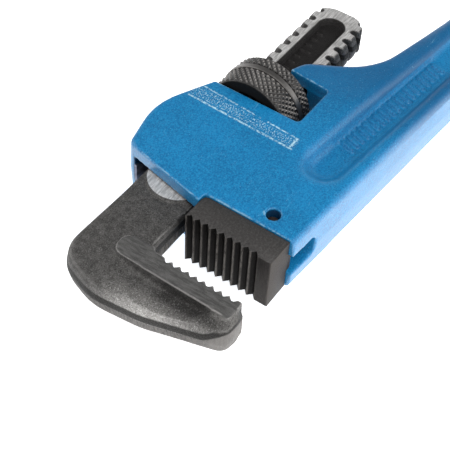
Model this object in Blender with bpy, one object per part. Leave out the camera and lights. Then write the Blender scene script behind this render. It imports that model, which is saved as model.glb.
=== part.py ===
"""Pipe wrench with a screw-adjusted hook jaw, built lying on its side.

The working frame ("datum") has X along the shank of the hook jaw, towards the handle's end, Y from the mouth
towards the adjusting nut, and Z through the wrench's thickness. Its zero is the mouth-side corner of the heel
jaw's tooth tips, on the mid-plane. The datum empty is then moved so that the whole wrench stands on z = 0
with its box centred on the origin.
"""

import math

import bmesh
import bpy
from mathutils import Matrix, Vector

MM = 0.001

# Driving dimensions.
OVERALL_LENGTH = 350.0 * MM  # hook jaw's back to the handle's end
JAW_GAP = 17.0 * MM  # between the two rows of tooth tips, as stored
FIT_GAP = 0.3 * MM  # between a piece and its seat
TOOTH_PITCH = 3.5 * MM
TOOTH_DEPTH = 1.8 * MM

# Heel jaw: a toothed block with a tongue that a cross pin holds in the housing.
HEEL_LENGTH = 37.0 * MM
HEEL_DEPTH = 12.2 * MM
HEEL_THICKNESS = 25.2 * MM
HEEL_LAND = 5.5 * MM  # plain face at the mouth end
TONGUE_THICKNESS = 9.4 * MM
TONGUE_REACH = 11.5 * MM
TONGUE_LENGTH = 30.0 * MM
TONGUE_SLOT_DEPTH = 14.3 * MM  # from the seat to the slot's round end
TONGUE_SLOT_ROUND = 3.5 * MM
PIN_RADIUS = 2.5 * MM
PIN_LENGTH = 19.0 * MM
PIN_INSET = (7.0 * MM, 11.6 * MM)  # behind the block's back face, and up from its mouth end

# Shank, thread and adjusting nut.
SHANK_AXIS = 53.7 * MM  # height of the screw axis above the mouth end of the heel jaw
SHANK_THICKNESS = 12.8 * MM
THREAD_RADIUS = 13.2 * MM
THREAD_DEPTH = 2.6 * MM
THREAD_PITCH = 7.0 * MM
THREAD_GROOVE = 3.4 * MM  # groove width at the crest
THREAD_GROOVE_FLOOR = 1.8 * MM
THREAD_START = 60.0 * MM  # from the hook's tooth tips to the first thread
THREAD_CLEARANCE = 0.35 * MM
SHANK_LENGTH = 160.0 * MM  # from the hook's tooth tips to the shank's end
SHANK_END_ROUND = 10.0 * MM
NECK_WIDTH = 25.2 * MM
NECK_THICKNESS = 11.2 * MM
NECK_FLAT_START = 23.5 * MM  # where the ground flats of the shank begin
POCKET_WIDTH = 13.0 * MM
POCKET_DEPTH = 2.4 * MM
POCKET_LENGTH = 76.0 * MM
POCKET_END_WALL = 6.2 * MM
NUT_RADIUS = 19.4 * MM
NUT_WIDTH = 18.4 * MM
NUT_CHAMFER = 1.2 * MM
NUT_RING_WIDTH = 2.6 * MM
NUT_RING_AT = 11.0 * MM  # the plain ring's centre, from the nut's front face
NUT_GROOVE = 0.6 * MM
NUT_BAND_DROP = 0.15 * MM  # how far the gripping bands lie below the ring

# Hook jaw.
PAD_THICKNESS = 18.0 * MM
PAD_WIDTH = 8.3 * MM
PAD_END = 51.0 * MM  # height of the pad's round end
HOOK_LAND = 1.8 * MM
HOOK_TEETH_END = 36.5 * MM
HOOK_BODY_THICKNESS = 13.2 * MM
HOOK_BACK = 24.0 * MM  # tooth tips to the back of the hook
HOOK_ROUND = 2.0 * MM
HOOK_DRAFT = 0.9 * MM  # how far the forging swells at its parting line
WEB_HOLLOW = 3.0 * MM  # depth of the hollow beside the pad
WEB_HOLLOW_AT = 24.5 * MM  # its middle, above the mouth end of the heel jaw
WEB_HOLLOW_REACH = (14.0 * MM, 25.0 * MM)
WEB_HOLLOW_TURN = math.radians(7)

# Handle casting.
HOUSING_THICKNESS = 26.8 * MM
GRIP_THICKNESS = 21.6 * MM
CAST_ROUND = 1.6 * MM
HOUSING_ROUND = 2.6 * MM  # along the mouth-side edge
GRIP_ROUND = 4.2 * MM
MACHINED_RIM = 0.4 * MM  # left on the machined faces of the mouth and window
CAST_DRAFT = 0.5 * MM  # how far the casting swells at its parting line
PASSAGE_HEIGHT = 14.8 * MM
PASSAGE_INNER = 13.9 * MM  # screw axis down to the passage's floor
PASSAGE_OUTER = 18.8 * MM  # screw axis up to the passage's roof, at its mouth
PASSAGE_OUTER_BACK = 13.9 * MM  # and beside the nut
ROOF_SLOPE_START = 46.0 * MM  # along X, where the roof starts down to the nut
CREST_WALL = 8.1 * MM  # casting outside the passage's roof
CREST_AT = 41.0 * MM  # along X
CREST_RISE = 1.4 * MM  # the crest's corner above the crest
BROW_DROP = 4.6 * MM  # the front corner below the crest
WINDOW_LIP_DROP = 11.0 * MM  # the window's front lip below the crest
SEAT_STOCK = 6.0 * MM  # casting in front of the heel jaw's seat, for the seat's cutter
SEAT_STEP = 2.0 * MM  # slope of the front face past the seat's top
WINDOW_FRONT = 64.9 * MM
WINDOW_LENGTH = 22.6 * MM
WINDOW_FLOOR_GAP = 4.6 * MM  # under the nut
HORN_SET_BACK = 1.6 * MM  # the horn's point, behind the window's back face
HORN_HEIGHT = 9.2 * MM  # and above the passage's floor
HORN_CROWN = (7.8 * MM, 7.7 * MM)  # its crown's corner: behind its point, and above the passage's floor
SWEEP_AT = 24.0 * MM  # the hollow behind the horn: behind its point
SWEEP_DROP = 7.5 * MM  # and below the window's floor
WAIST_AT = 77.0 * MM  # the grip's waist, behind the window
WAIST_RISE = 1.2 * MM  # how much wider than the grip it is
NUT_SIDE_PLAY = 0.9 * MM  # nut to the window's front face, past its rounded rim
GRIP_SLOPE = math.radians(-4.9)
GRIP_WIDTH = 27.0 * MM
GRIP_DROP = 1.2 * MM  # its mouth-side edge below the heel jaw's end, at the seat
GRIP_TAPER_LENGTH = 60.0 * MM  # over which the housing thins to the grip
GRIP_END_ROUND = 12.5 * MM
RECESS_START = 42.3 * MM
RECESS_SLOPE = math.radians(-5.6)
RECESS_HALF_WIDTH = 9.6 * MM
RECESS_MIDDLE = 11.2 * MM  # above the mouth end of the heel jaw, where the recess starts
RECESS_END_WALL = 12.0 * MM  # between the recess and the hang hole
RECESS_END_DRAFT = 1.6  # its ends slope this much more than its sides
RECESS_DRAFT = 4.4 * MM  # how much narrower the recess's floor is, on each side
WEB_THICKNESS = 14.0 * MM
HANG_HOLE_WIDTH = 11.0 * MM
HANG_HOLE_LENGTH = 20.0 * MM
HANG_HOLE_FROM_END = 6.5 * MM

# Spring set, behind the shank in the housing's roof.
LEAF_LENGTH = 30.0 * MM
LEAF_WIDTH = 9.0 * MM
LEAF_THICKNESS = 1.0 * MM
SPRING_AT = 30.0 * MM  # along X
COIL_RADIUS = 3.0 * MM
COIL_WIRE = 0.9 * MM
COIL_TURNS = 4
COIL_POCKET_DEPTH = 4.6 * MM
RIVET_RADIUS = 1.0 * MM
RIVET_HEAD_RADIUS = 1.9 * MM
RIVET_HEAD = 0.8 * MM

ARC_STEP = math.radians(8)
ROUND_SIDES = 24
NUT_SIDES = 48
THREAD_SIDES = 36
CUT = 10.0 * MM  # how far a cutter reaches past what it cuts


# ---------------------------------------------------------------- shared helpers


def clear_scene():
    for obj in list(bpy.data.objects):
        bpy.data.objects.remove(obj)


def material(name, colour, roughness, metallic):
    made = bpy.data.materials.new(name)
    made.use_nodes = True
    shader = made.node_tree.nodes["Principled BSDF"]
    shader.inputs["Base Color"].default_value = (*colour, 1.0)
    shader.inputs["Roughness"].default_value = roughness
    shader.inputs["Metallic"].default_value = metallic
    made.diffuse_color = (*colour, 1.0)
    return made


def make_object(name, bm, finish=None, origin=(0, 0, 0), smooth=math.radians(30)):
    """A mesh object whose origin is at the given point of the datum frame."""
    bmesh.ops.triangulate(bm, faces=bm.faces)
    bmesh.ops.recalc_face_normals(bm, faces=bm.faces)
    bmesh.ops.translate(bm, verts=bm.verts, vec=-Vector(origin))
    mesh = bpy.data.meshes.new(name)
    bm.to_mesh(mesh)
    bm.free()
    mesh.shade_smooth()
    mesh.set_sharp_from_angle(angle=smooth)
    obj = bpy.data.objects.new(name, mesh)
    bpy.context.scene.collection.objects.link(obj)
    obj.location = origin
    if finish:
        mesh.materials.append(finish)
    return obj


def combine(target, helper, operation):
    """Cuts the helper from the target, or joins it on, with a Boolean modifier; the helper is kept hidden."""
    modifier = target.modifiers.new(f"{operation.lower()} {helper.name}", "BOOLEAN")
    modifier.operation = operation
    modifier.solver = "EXACT"
    modifier.object = helper
    helper.hide_render = True
    helper.display_type = "WIRE"
    helper.parent = target
    helper.matrix_parent_inverse = Matrix.Translation(-target.location)


def filleted(corners, step=ARC_STEP):
    """The closed outline through corners (x, y, radius, ...), each corner rounded by an arc of its radius.

    What follows the radius is carried on to each point of the arc: (x, y, *rest).
    """
    points = []
    count = len(corners)
    for i, (x, y, radius, *rest) in enumerate(corners):
        here = Vector((x, y))
        before = (Vector(corners[i - 1][:2]) - here).normalized()
        after = (Vector(corners[(i + 1) % count][:2]) - here).normalized()
        turn = math.pi - before.angle(after)
        if radius < 1e-6 or turn < 1e-4:
            points.append((x, y, *rest))
            continue
        reach = radius * math.tan(turn / 2)
        centre = here + (before + after).normalized() * (radius / math.cos(turn / 2))
        start = here + before * reach - centre
        side = 1 if before.cross(after) < 0 else -1
        steps = max(2, round(turn / step))
        for k in range(steps + 1):
            arm = start.copy()
            arm.rotate(Matrix.Rotation(side * turn * k / steps, 2))
            points.append((centre.x + arm.x, centre.y + arm.y, *rest))
    return points


def prism(outline, low, high):
    """An upright prism of the closed outline, from z = low to z = high."""
    bm = bmesh.new()
    ring = [bm.verts.new((p[0], p[1], low)) for p in outline]
    face = bm.faces.new(ring)
    raised = bmesh.ops.extrude_face_region(bm, geom=[face])["geom"]
    verts = [v for v in raised if isinstance(v, bmesh.types.BMVert)]
    bmesh.ops.translate(bm, verts=verts, vec=(0, 0, high - low))
    return bm


def block(low, high):
    return prism([(low[0], low[1]), (high[0], low[1]), (high[0], high[1]), (low[0], high[1])], low[2], high[2])


def inward_normals(outline):
    """The inward mitre vector at each point of a closed outline."""
    count = len(outline)
    area = sum(
        outline[i - 1][0] * outline[i][1] - outline[i][0] * outline[i - 1][1] for i in range(count)
    )
    hand = 1 if area > 0 else -1
    normals = []
    for i in range(count):
        here = Vector(outline[i][:2])
        before = (here - Vector(outline[i - 1][:2])).normalized()
        after = (Vector(outline[(i + 1) % count][:2]) - here).normalized()
        left = Vector((-before.y, before.x)) + Vector((-after.y, after.x))
        left.normalize()
        lean = max(0.5, left.dot(Vector((-before.y, before.x))))
        normals.append(left * (hand / lean))
    return normals


def pillow(outline, half, swell):
    """A slab with rounded rims: outline points are (x, y, rim radius), and half is its half thickness.

    A point with a rim over 1 mm is cast, so it also swells outwards at the parting line.
    """
    normals = inward_normals(outline)

    def ring(bm, inset, height):
        made = []
        for (x, y, rim), normal in zip(outline, normals):
            move = normal * inset(rim)
            made.append(bm.verts.new((x + move.x, y + move.y, height(rim))))
        return made

    def level(angle, sign):
        return (
            lambda rim: rim * (1 - math.cos(angle)),
            lambda rim: sign * (half - rim * (1 - math.sin(angle))),
        )

    quarter = [math.radians(a) for a in (0, 30, 60, 90)]
    levels = [level(a, -1) for a in reversed(quarter)]
    levels.append((lambda rim: -swell if rim > 1.0 * MM else 0.0, lambda rim: 0.0))
    levels += [level(a, 1) for a in quarter]
    bm = bmesh.new()
    rings = [ring(bm, *one) for one in levels]
    count = len(outline)
    for lower, upper in zip(rings, rings[1:]):
        for i in range(count):
            j = (i + 1) % count
            bm.faces.new((lower[i], lower[j], upper[j], upper[i]))
    bm.faces.new(rings[0][::-1])
    bm.faces.new(rings[-1])
    return bm


def taper(bm, stations):
    """Scales z by a factor that changes linearly between stations (x, factor)."""
    for x, _ in stations:
        geom = bm.verts[:] + bm.edges[:] + bm.faces[:]
        bmesh.ops.bisect_plane(bm, geom=geom, plane_co=(x, 0, 0), plane_no=(1, 0, 0), dist=1e-7)
    for vert in bm.verts:
        x = vert.co.x
        factor = stations[0][1] if x < stations[0][0] else stations[-1][1]
        for (x0, f0), (x1, f1) in zip(stations, stations[1:]):
            if x0 <= x <= x1:
                factor = f0 + (f1 - f0) * (x - x0) / (x1 - x0)
        vert.co.z *= factor


def cylinder(radius, low, high, axis, centre, sides=ROUND_SIDES):
    """A cylinder along X, Y or Z, between two places on that axis."""
    bm = bmesh.new()
    bmesh.ops.create_cone(
        bm, cap_ends=True, segments=sides, radius1=radius, radius2=radius, depth=high - low
    )
    turn = {"X": Matrix.Rotation(math.pi / 2, 4, "Y"), "Y": Matrix.Rotation(-math.pi / 2, 4, "X")}
    place = Vector(centre)
    place["XYZ".index(axis)] = (low + high) / 2
    matrix = Matrix.Translation(place) @ turn.get(axis, Matrix.Identity(4))
    bmesh.ops.transform(bm, matrix=matrix, verts=bm.verts)
    return bm


def turned(profile, centre, sides):
    """A solid of revolution about an axis along X. The profile is (x, radius) from one face to the other."""
    bm = bmesh.new()
    rings = []
    for x, radius in profile:
        ring = []
        for k in range(sides):
            angle = 2 * math.pi * k / sides
            ring.append(
                bm.verts.new((x, centre[1] + radius * math.sin(angle), centre[2] - radius * math.cos(angle)))
            )
        rings.append(ring)
    for lower, upper in zip(rings, rings[1:]):
        for k in range(sides):
            bm.faces.new((lower[k], lower[k - 1], upper[k - 1], upper[k]))
    bm.faces.new(rings[0])
    bm.faces.new(rings[-1][::-1])
    return bm


def screw(start, end, crest, root, groove, floor):
    """A right-handed threaded rod about the screw axis, its ends left ragged past start and end for trimming.

    groove and floor are the thread groove's widths at the crest and at the root.
    """
    land = (THREAD_PITCH - groove) / 2
    flank = (groove - floor) / 2
    pattern = [(land, crest), (land + flank, root), (land + flank + floor, root), (land + groove, crest)]
    threads = math.ceil((end - start) / THREAD_PITCH) + 4
    bm = bmesh.new()
    columns = []
    for k in range(THREAD_SIDES):
        angle = 2 * math.pi * k / THREAD_SIDES
        column = []
        for n in range(threads):
            for along, radius in pattern:
                x = thread_origin() + start_turn(start) + (n - 2) * THREAD_PITCH + along
                x += THREAD_PITCH * k / THREAD_SIDES
                y = SHANK_AXIS + radius * math.cos(angle)
                column.append(bm.verts.new((x, y, radius * math.sin(angle))))
        columns.append(column)
    for k in range(THREAD_SIDES):
        here, there = columns[k], columns[(k + 1) % THREAD_SIDES]
        slip = len(pattern) if k == THREAD_SIDES - 1 else 0
        for i in range(len(here) - 1 - slip):
            bm.faces.new((here[i], here[i + 1], there[i + 1 + slip], there[i + slip]))
    close_ends(bm)
    return bm


def thread_origin():
    """A place on the screw axis that shank and nut both count their threads from."""
    return HOOK_TEETH_X + THREAD_START


def start_turn(start):
    """Whole pitches from the thread's origin to the place before start."""
    return math.floor((start - thread_origin()) / THREAD_PITCH) * THREAD_PITCH


def close_ends(bm):
    """Closes each open rim of a tube with a fan to a point on the screw axis."""
    rims = [e for e in bm.edges if e.is_boundary]
    middle = sum((e.verts[0].co.x for e in rims)) / len(rims)
    for low in (True, False):
        rim = [e for e in rims if (e.verts[0].co.x < middle) == low]
        x = sum(e.verts[0].co.x + e.verts[1].co.x for e in rim) / (2 * len(rim))
        hub = bm.verts.new((x, SHANK_AXIS, 0))
        for edge in rim:
            bm.faces.new((edge.verts[0], edge.verts[1], hub))


def obround(start, end, half, step=ARC_STEP):
    """The outline of a slot with round ends, from start to end (2-D points between its outer tips)."""
    start, end = Vector(start), Vector(end)
    along = (end - start).normalized()
    across = Vector((-along.y, along.x))
    a, b = start + along * half, end - along * half
    steps = round(math.pi / step)
    points = []
    for k in range(steps + 1):
        angle = math.pi * k / steps
        p = b + (across * -math.cos(angle) + along * math.sin(angle)) * half
        points.append((p.x, p.y))
    for k in range(steps + 1):
        angle = math.pi * k / steps
        p = a + (across * math.cos(angle) - along * math.sin(angle)) * half
        points.append((p.x, p.y))
    return points


def loft(low_outline, low, high_outline, high):
    """A closed solid between two outlines with the same number of points."""
    bm = bmesh.new()
    bottom = [bm.verts.new((p[0], p[1], low)) for p in low_outline]
    top = [bm.verts.new((p[0], p[1], high)) for p in high_outline]
    for i in range(len(bottom)):
        j = (i + 1) % len(bottom)
        bm.faces.new((bottom[i], bottom[j], top[j], top[i]))
    bm.faces.new(bottom[::-1])
    bm.faces.new(top)
    return bm


def teeth(start, end, tip, into):
    """Points of a toothed edge along Y from start to end: tips at x = tip, grooves TOOTH_DEPTH into the jaw."""
    count = int(abs(end - start) / TOOTH_PITCH)
    step = TOOTH_PITCH if end > start else -TOOTH_PITCH
    points = [(tip, start)]
    for n in range(count):
        points.append((tip + into * TOOTH_DEPTH, start + (n + 0.5) * step))
        points.append((tip, start + (n + 1) * step))
    return points


# ---------------------------------------------------------------- places worked out from the sizes

HOOK_TEETH_X = -JAW_GAP
HOOK_BACK_X = HOOK_TEETH_X - HOOK_BACK
SEAT_X = HEEL_DEPTH + FIT_GAP
HANDLE_END_X = HOOK_BACK_X + OVERALL_LENGTH
PIN_AT = (HEEL_DEPTH + PIN_INSET[0], PIN_INSET[1])
PIN_HOLE = PIN_RADIUS + FIT_GAP
NUT_FRONT = WINDOW_FRONT + NUT_SIDE_PLAY
WINDOW_BACK = WINDOW_FRONT + WINDOW_LENGTH
WINDOW_FLOOR = SHANK_AXIS - NUT_RADIUS - WINDOW_FLOOR_GAP
PASSAGE_FLOOR = SHANK_AXIS - PASSAGE_INNER
PASSAGE_ROOF = SHANK_AXIS + PASSAGE_OUTER
CREST = PASSAGE_ROOF + CREST_WALL


# ---------------------------------------------------------------- handle


def grip_lower(x):
    """Height of the grip's mouth-side edge."""
    return -GRIP_DROP + math.tan(GRIP_SLOPE) * (x - SEAT_X)


def handle_outline():
    """Plan outline (x, y, fillet, rim radius), from the heel jaw's seat, up the front and round to the grip."""
    end = HANDLE_END_X
    front = SEAT_X - SEAT_STOCK
    horn = WINDOW_BACK + HORN_SET_BACK
    end_low = grip_lower(end)
    waist = WINDOW_BACK + WAIST_AT
    return filleted(
        [
            (front, grip_lower(SEAT_X), 0.0, HOUSING_ROUND),
            (front, HEEL_LENGTH - 1.5 * SEAT_STEP, 0.0, MACHINED_RIM),
            (front + SEAT_STEP, HEEL_LENGTH, 0.0, MACHINED_RIM),
            (SEAT_X + 1.5 * SEAT_STEP, PASSAGE_ROOF - 1.5 * MM, 0.0, MACHINED_RIM),
            (SEAT_X + 2.15 * SEAT_STEP, CREST - BROW_DROP, 4.5 * MM, CAST_ROUND),
            (CREST_AT, CREST + CREST_RISE, 30.0 * MM, CAST_ROUND),
            (WINDOW_FRONT, CREST - WINDOW_LIP_DROP, 1.5 * MM, MACHINED_RIM),
            (WINDOW_FRONT, WINDOW_FLOOR, 2.0 * MM, MACHINED_RIM),
            (WINDOW_BACK, WINDOW_FLOOR, 1.5 * MM, MACHINED_RIM),
            (horn, PASSAGE_FLOOR + HORN_HEIGHT, 0.0, MACHINED_RIM),
            (horn + HORN_CROWN[0], PASSAGE_FLOOR + HORN_CROWN[1], 9.0 * MM, CAST_ROUND),
            (horn + SWEEP_AT, WINDOW_FLOOR - SWEEP_DROP, 32.0 * MM, CAST_ROUND),
            (waist, grip_lower(waist) + GRIP_WIDTH + WAIST_RISE, 120.0 * MM, GRIP_ROUND),
            (end, end_low + GRIP_WIDTH, GRIP_END_ROUND, GRIP_ROUND),
            (end - 2.5 * MM, end_low, GRIP_END_ROUND, GRIP_ROUND),
            (WINDOW_BACK, grip_lower(WINDOW_BACK), 0.0, HOUSING_ROUND),
        ]
    )


def recess_cutter(side):
    """The long dished recess of one face of the grip: wide at the mouth, narrower at its floor."""
    along = Vector((math.cos(RECESS_SLOPE), math.sin(RECESS_SLOPE)))
    start = Vector((RECESS_START, RECESS_MIDDLE))
    length = HANDLE_END_X - RECESS_START - HANG_HOLE_LENGTH - HANG_HOLE_FROM_END - RECESS_END_WALL
    end = start + along * length
    mouth_z = HOUSING_THICKNESS / 2 + 1.0 * MM
    floor_z = WEB_THICKNESS / 2
    mouth = obround(start - along * 1.0 * MM, end + along * 1.0 * MM, RECESS_HALF_WIDTH)
    floor_shift = along * RECESS_DRAFT * RECESS_END_DRAFT
    floor = obround(start + floor_shift, end - floor_shift, RECESS_HALF_WIDTH - RECESS_DRAFT)
    if side > 0:
        return loft(floor, floor_z, mouth, mouth_z)
    return loft(mouth, -mouth_z, floor, -floor_z)


def tongue_slot():
    """The slot behind the heel jaw's seat, open at the mouth end, with a round bottom for strength."""
    half = TONGUE_THICKNESS / 2 + FIT_GAP
    back = SEAT_X + TONGUE_SLOT_DEPTH
    outline = filleted(
        [
            (SEAT_X - CUT / 2, -half, 0.0),
            (back, -half, TONGUE_SLOT_ROUND),
            (back, half, TONGUE_SLOT_ROUND),
            (SEAT_X - CUT / 2, half, 0.0),
        ]
    )
    bm = prism(outline, -TONGUE_LENGTH - 10 * FIT_GAP, CUT)
    bmesh.ops.rotate(bm, verts=bm.verts, cent=(0, 0, 0), matrix=Matrix.Rotation(math.pi / 2, 3, "X"))
    return bm


def build_handle(finish):
    half = HOUSING_THICKNESS / 2
    bm = pillow(handle_outline(), half, CAST_DRAFT)
    factor = GRIP_THICKNESS / HOUSING_THICKNESS
    taper(bm, [(WINDOW_BACK, 1.0), (WINDOW_BACK + GRIP_TAPER_LENGTH, factor)])
    handle = make_object("handle", bm, finish)

    seat = block((SEAT_X - CUT, -CUT, -half - CUT), (SEAT_X, HEEL_LENGTH + FIT_GAP, half + CUT))
    combine(handle, make_object("seat_cutter", seat), "DIFFERENCE")

    passage_half = PASSAGE_HEIGHT / 2
    passage = filleted(
        [
            (SEAT_X - CUT, HEEL_LENGTH + FIT_GAP, 0.0),
            (SEAT_X, HEEL_LENGTH + FIT_GAP, 0.0),
            (SEAT_X + 1.0 * MM, PASSAGE_FLOOR, 1.0 * MM),
            (WINDOW_FRONT + CUT / 2, PASSAGE_FLOOR, 0.0),
            (WINDOW_FRONT + CUT / 2, SHANK_AXIS + PASSAGE_OUTER_BACK, 0.0),
            (WINDOW_FRONT - 1.5 * MM, SHANK_AXIS + PASSAGE_OUTER_BACK, 0.0),
            (ROOF_SLOPE_START, PASSAGE_ROOF, 0.0),
            (SEAT_X - CUT, PASSAGE_ROOF, 0.0),
        ]
    )
    combine(handle, make_object("passage_cutter", prism(passage, -passage_half, passage_half)), "DIFFERENCE")

    trough = [
        (WINDOW_BACK - 1.5 * MM, PASSAGE_FLOOR + FIT_GAP),
        (WINDOW_BACK + 40 * MM, PASSAGE_FLOOR + FIT_GAP),
        (WINDOW_BACK + 40 * MM, CREST),
        (WINDOW_BACK - 1.5 * MM, CREST),
    ]
    combine(handle, make_object("trough_cutter", prism(trough, -passage_half, passage_half)), "DIFFERENCE")

    combine(handle, make_object("tongue_slot_cutter", tongue_slot()), "DIFFERENCE")

    hole = cylinder(PIN_HOLE, -half - CUT, half + CUT, "Z", (*PIN_AT, 0))
    combine(handle, make_object("pin_hole_cutter", hole), "DIFFERENCE")

    pocket = cylinder(
        COIL_RADIUS + COIL_WIRE / 2 + 2 * FIT_GAP,
        PASSAGE_ROOF - 1.0 * MM,
        PASSAGE_ROOF + COIL_POCKET_DEPTH,
        "Y",
        (SPRING_AT, 0, 0),
    )
    combine(handle, make_object("coil_pocket_cutter", pocket), "DIFFERENCE")

    for side in (1, -1):
        combine(handle, make_object(f"recess_cutter_{side}", recess_cutter(side)), "DIFFERENCE")

    near = HANDLE_END_X - HANG_HOLE_FROM_END
    middle = GRIP_WIDTH / 2
    hang = obround(
        (near - HANG_HOLE_LENGTH, grip_lower(near - HANG_HOLE_LENGTH) + middle),
        (near, grip_lower(near) + middle),
        HANG_HOLE_WIDTH / 2,
    )
    combine(handle, make_object("hang_hole_cutter", prism(hang, -half - CUT, half + CUT)), "DIFFERENCE")
    return handle


# ---------------------------------------------------------------- heel jaw and its pin


def build_heel_jaw(finish):
    half = HEEL_THICKNESS / 2
    face = teeth(HEEL_LAND, HEEL_LENGTH, 0.0, 1)
    outline = [(0.0, 0.0), *face, (0.0, HEEL_LENGTH)]
    outline = [p for i, p in enumerate(outline) if i == 0 or (Vector(p) - Vector(outline[i - 1])).length > 1e-5]
    outline += filleted(
        [(0.0, HEEL_LENGTH, 0.0), (HEEL_DEPTH, HEEL_LENGTH, 2.5 * MM), (HEEL_DEPTH, 0.0, 0.0)]
    )[1:]
    jaw = make_object("heel_jaw", prism(outline, -half, half), finish)

    tongue_half = TONGUE_THICKNESS / 2
    reach = HEEL_DEPTH + TONGUE_REACH
    tongue = filleted(
        [
            (HEEL_DEPTH - 2 * MM, 0.4 * MM, 0.0),
            (HEEL_DEPTH + 3 * MM, 0.4 * MM, 2.0 * MM),
            (reach, 8.0 * MM, 7.0 * MM),
            (reach, TONGUE_LENGTH, 8.0 * MM),
            (HEEL_DEPTH - 2 * MM, TONGUE_LENGTH, 0.0),
        ]
    )
    combine(jaw, make_object("tongue_blank", prism(tongue, -tongue_half, tongue_half)), "UNION")
    hole = cylinder(PIN_HOLE, -half, half, "Z", (*PIN_AT, 0))
    combine(jaw, make_object("tongue_hole_cutter", hole), "DIFFERENCE")
    return jaw


def build_pin(finish):
    bm = cylinder(PIN_RADIUS, -PIN_LENGTH / 2, PIN_LENGTH / 2, "Z", (*PIN_AT, 0))
    rims = [e for e in bm.edges if abs(e.verts[0].co.z - e.verts[1].co.z) < 1e-7]
    bmesh.ops.bevel(bm, geom=rims, offset=0.5 * MM, segments=1, affect="EDGES")
    return make_object("heel_jaw_pin", bm, finish, origin=(*PIN_AT, 0))


# ---------------------------------------------------------------- hook jaw


def hook_outline():
    """Plan outline of the forged hook and its neck (x, y, fillet, rim radius)."""
    back = HOOK_BACK_X
    tip = HOOK_TEETH_X
    inner = SHANK_AXIS - NECK_WIDTH / 2
    outer = SHANK_AXIS + NECK_WIDTH / 2
    neck_end = tip + THREAD_START - 2 * MM
    behind_teeth = tip - TOOTH_DEPTH - 1.2 * MM
    small = 0.8 * MM
    return filleted(
        [
            (neck_end, inner, 0.0, small),
            (neck_end, outer, 0.0, small),
            (back + 6.3 * MM, outer + 0.4 * MM, 12.0 * MM, HOOK_ROUND),
            (back, 48.0 * MM, 25.0 * MM, HOOK_ROUND),
            (back + 2.4 * MM, 27.5 * MM, 32.0 * MM, HOOK_ROUND),
            (back + 11.3 * MM, -2.0 * MM, 5.0 * MM, HOOK_ROUND),
            (behind_teeth - 1.5 * MM, -2.2 * MM, 2.0 * MM, small),
            (behind_teeth, 2.0 * MM, 0.0, small),
            (behind_teeth, inner, 1.5 * MM, small),
        ]
    )


def pad_outline():
    """The raised, toothed pad, right through the hook: teeth towards the mouth and a round upper end."""
    tip = HOOK_TEETH_X
    far = tip - PAD_WIDTH
    corners = [
        (tip, HEEL_LENGTH + FIT_GAP, 0.0),
        (tip + 1.6 * MM, HEEL_LENGTH + 1.8 * MM, 0.0),
        (tip + 1.6 * MM, PAD_END, 4.2 * MM),
        (far, PAD_END, 4.4 * MM),
        (far, -0.2 * MM, 1.6 * MM),
        (tip, -0.2 * MM, 1.0 * MM),
        (tip, HOOK_LAND, 0.0),
    ]
    return filleted(corners) + teeth(HOOK_LAND, HOOK_TEETH_END, tip, -1)[1:]


def nose_blank():
    """The hook's thick nose, the hull of a crown on each face and a wider belt at its parting line."""
    tip = HOOK_TEETH_X
    back = HOOK_BACK_X
    behind_teeth = tip - TOOTH_DEPTH - 0.6 * MM
    high = PAD_THICKNESS / 2 - 0.3 * MM
    crown = [
        (back + 14.9 * MM, 5.5 * MM),
        (back + 14.0 * MM, 2.6 * MM),
        (back + 15.7 * MM, 0.3 * MM),
        (behind_teeth, 0.3 * MM),
        (behind_teeth, 5.5 * MM),
    ]
    belt = [
        (back + 6.4 * MM, 15.0 * MM),
        (back + 10.2 * MM, 2.4 * MM),
        (back + 13.0 * MM, -1.2 * MM),
        (back + 17.0 * MM, -2.4 * MM),
        (tip - 3.2 * MM, -2.2 * MM),
        (tip - 1.2 * MM, -1.2 * MM),
        (behind_teeth, 1.5 * MM),
    ]
    bm = bmesh.new()
    for outline, height in ((crown, high), (belt, 0.45 * high)):
        for x, y in outline:
            bm.verts.new((x, y, height))
            bm.verts.new((x, y, -height))
    hull = bmesh.ops.convex_hull(bm, input=bm.verts)
    spare = [g for g in hull["geom_interior"] if isinstance(g, bmesh.types.BMVert)]
    bmesh.ops.delete(bm, geom=spare, context="VERTS")
    return bm


def web_hollow(side):
    """The long shallow dish beside the pad, cut with part of an ellipsoid."""
    lift = 3.0 * MM
    bm = bmesh.new()
    bmesh.ops.create_icosphere(bm, subdivisions=3, radius=1.0)
    middle = (HOOK_TEETH_X - PAD_WIDTH - 0.4 * MM, WEB_HOLLOW_AT, side * (HOOK_BODY_THICKNESS / 2 + lift))
    reach = Matrix.Diagonal((WEB_HOLLOW_REACH[0], WEB_HOLLOW_REACH[1], WEB_HOLLOW + lift, 1.0))
    turn = Matrix.Rotation(WEB_HOLLOW_TURN, 4, "Z")
    bmesh.ops.transform(bm, matrix=Matrix.Translation(middle) @ turn @ reach, verts=bm.verts)
    return bm


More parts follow.
